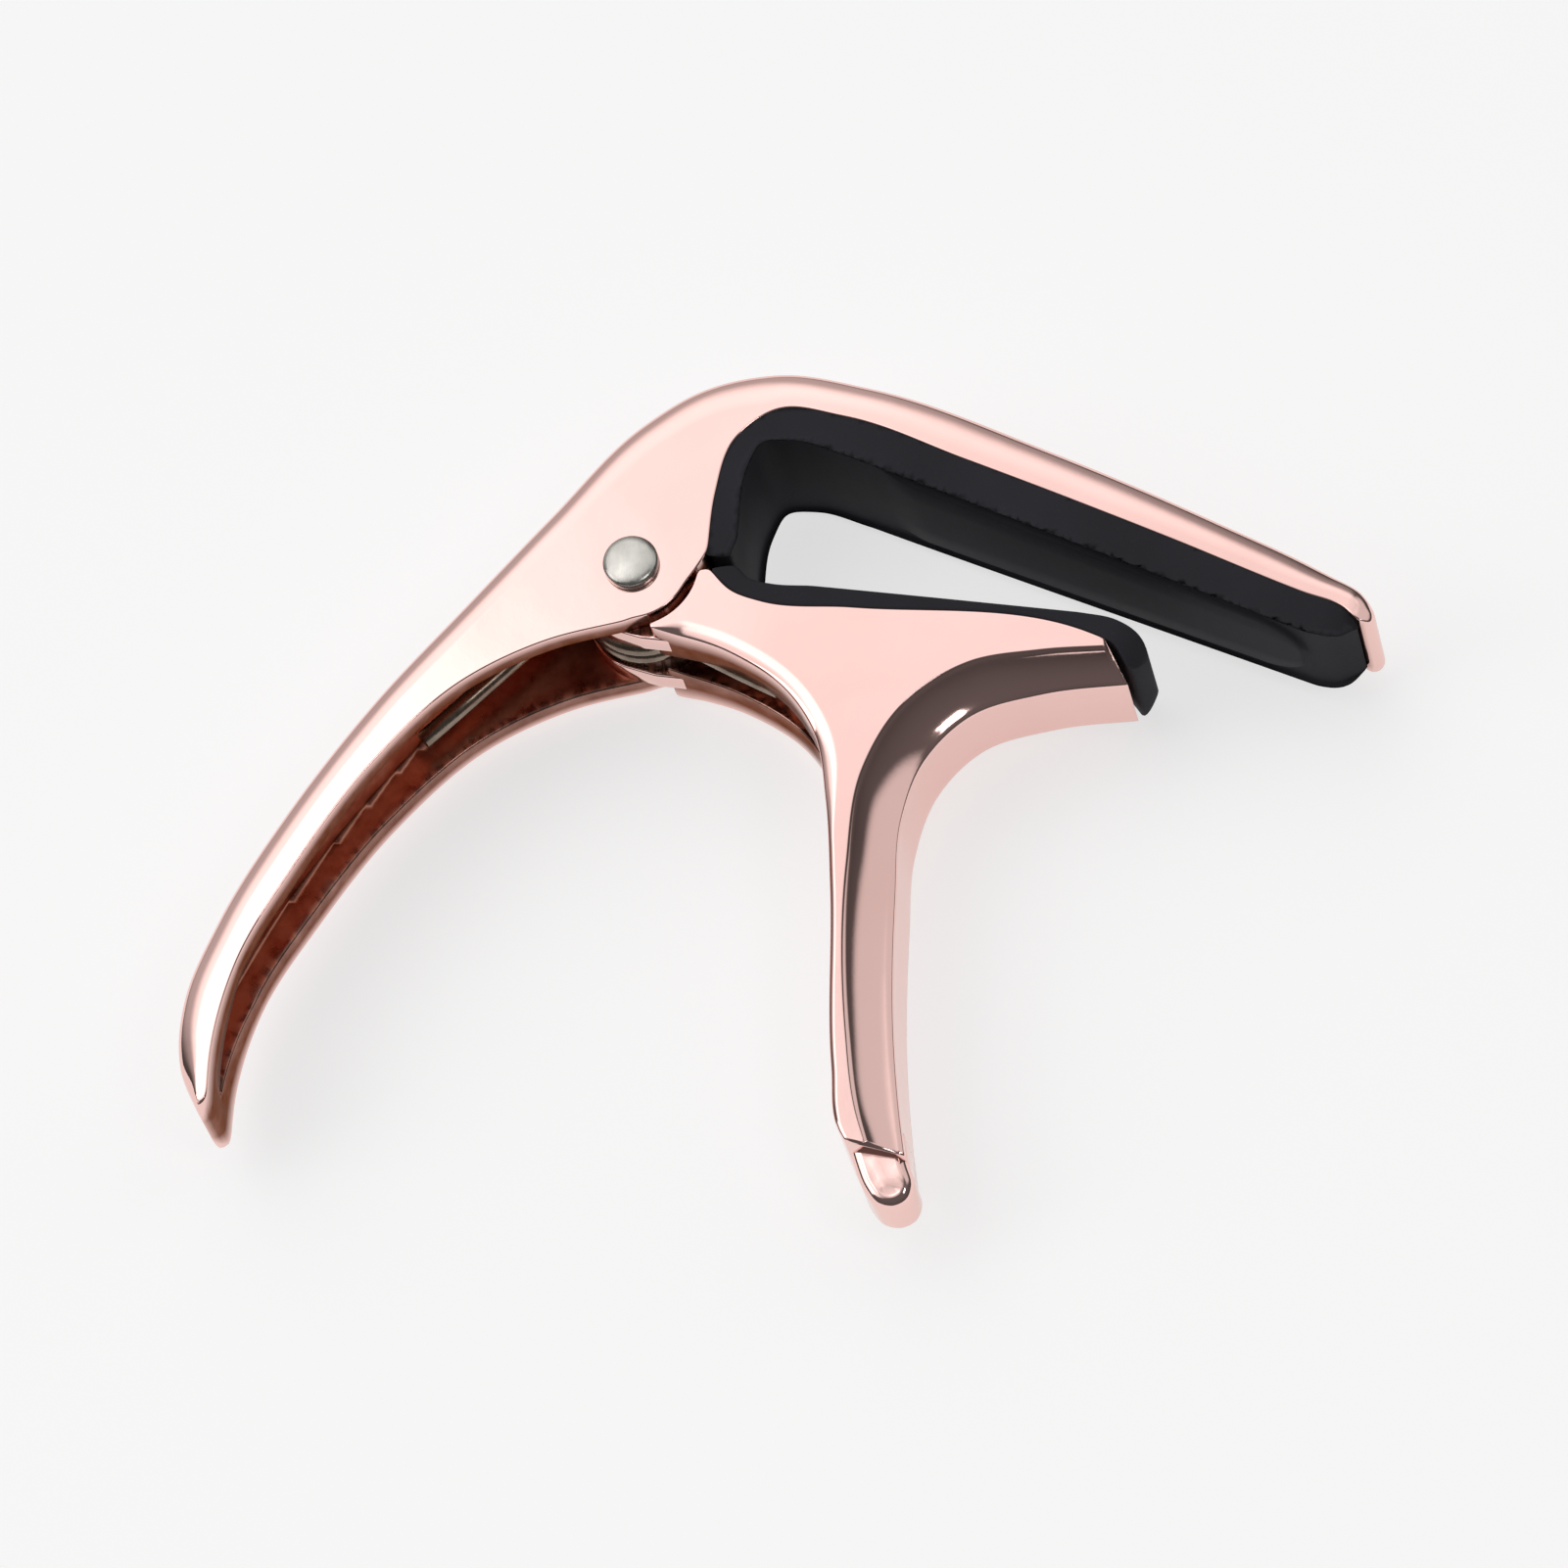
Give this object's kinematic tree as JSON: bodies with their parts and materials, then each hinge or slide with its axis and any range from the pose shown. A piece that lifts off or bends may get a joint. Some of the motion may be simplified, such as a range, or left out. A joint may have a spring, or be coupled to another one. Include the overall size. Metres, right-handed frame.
{
  "type": "guitar capo",
  "caption": "Trigger capo: a sprung two-piece clamp that presses a soft string bar across a guitar's fingerboard, with a padded jaw behind the neck and two squeeze handles.",
  "frame": {"origin": "under the middle of the capo as it lies on its side, at the level of the lower rivet head", "axes": "+Z along the rivet, +X the way the string bar points, -Y the way the handles point"},
  "size_m": [0.1025, 0.0761, 0.017],
  "materials": {
    "plated_arm": "mirror-polished rose-gold plating on a zinc casting",
    "plated_lever": "mirror-polished rose-gold plating on a zinc casting",
    "string_silicone": "matte moulded silicone with a fine grain",
    "neck_silicone": "matte moulded silicone with a fine grain",
    "rivet_steel": "tumbled steel with fine scratches",
    "sleeve_nylon": "natural nylon",
    "spring_steel": "drawn spring wire"
  },
  "bodies": {
    "arm": {"arm": "plated_arm", "string_pad": "string_silicone", "pivot_rivet": "rivet_steel", "coil_sleeve": "sleeve_nylon", "torsion_spring": "spring_steel"},
    "lever": {"lever": "plated_lever", "neck_pad": "neck_silicone"}
  },
  "joints": [
    {"name": "lever_pivot", "type": "hinge", "parent": "arm", "child": "lever", "pos_m": [-0.0133, 0.0202, 0.0085], "axis": [0, 0, -1], "range_deg": [0, 30], "stiffness_Nm_per_rad": 0.67, "springref_deg": -68.75, "deforming": ["torsion_spring"]}
  ]
}
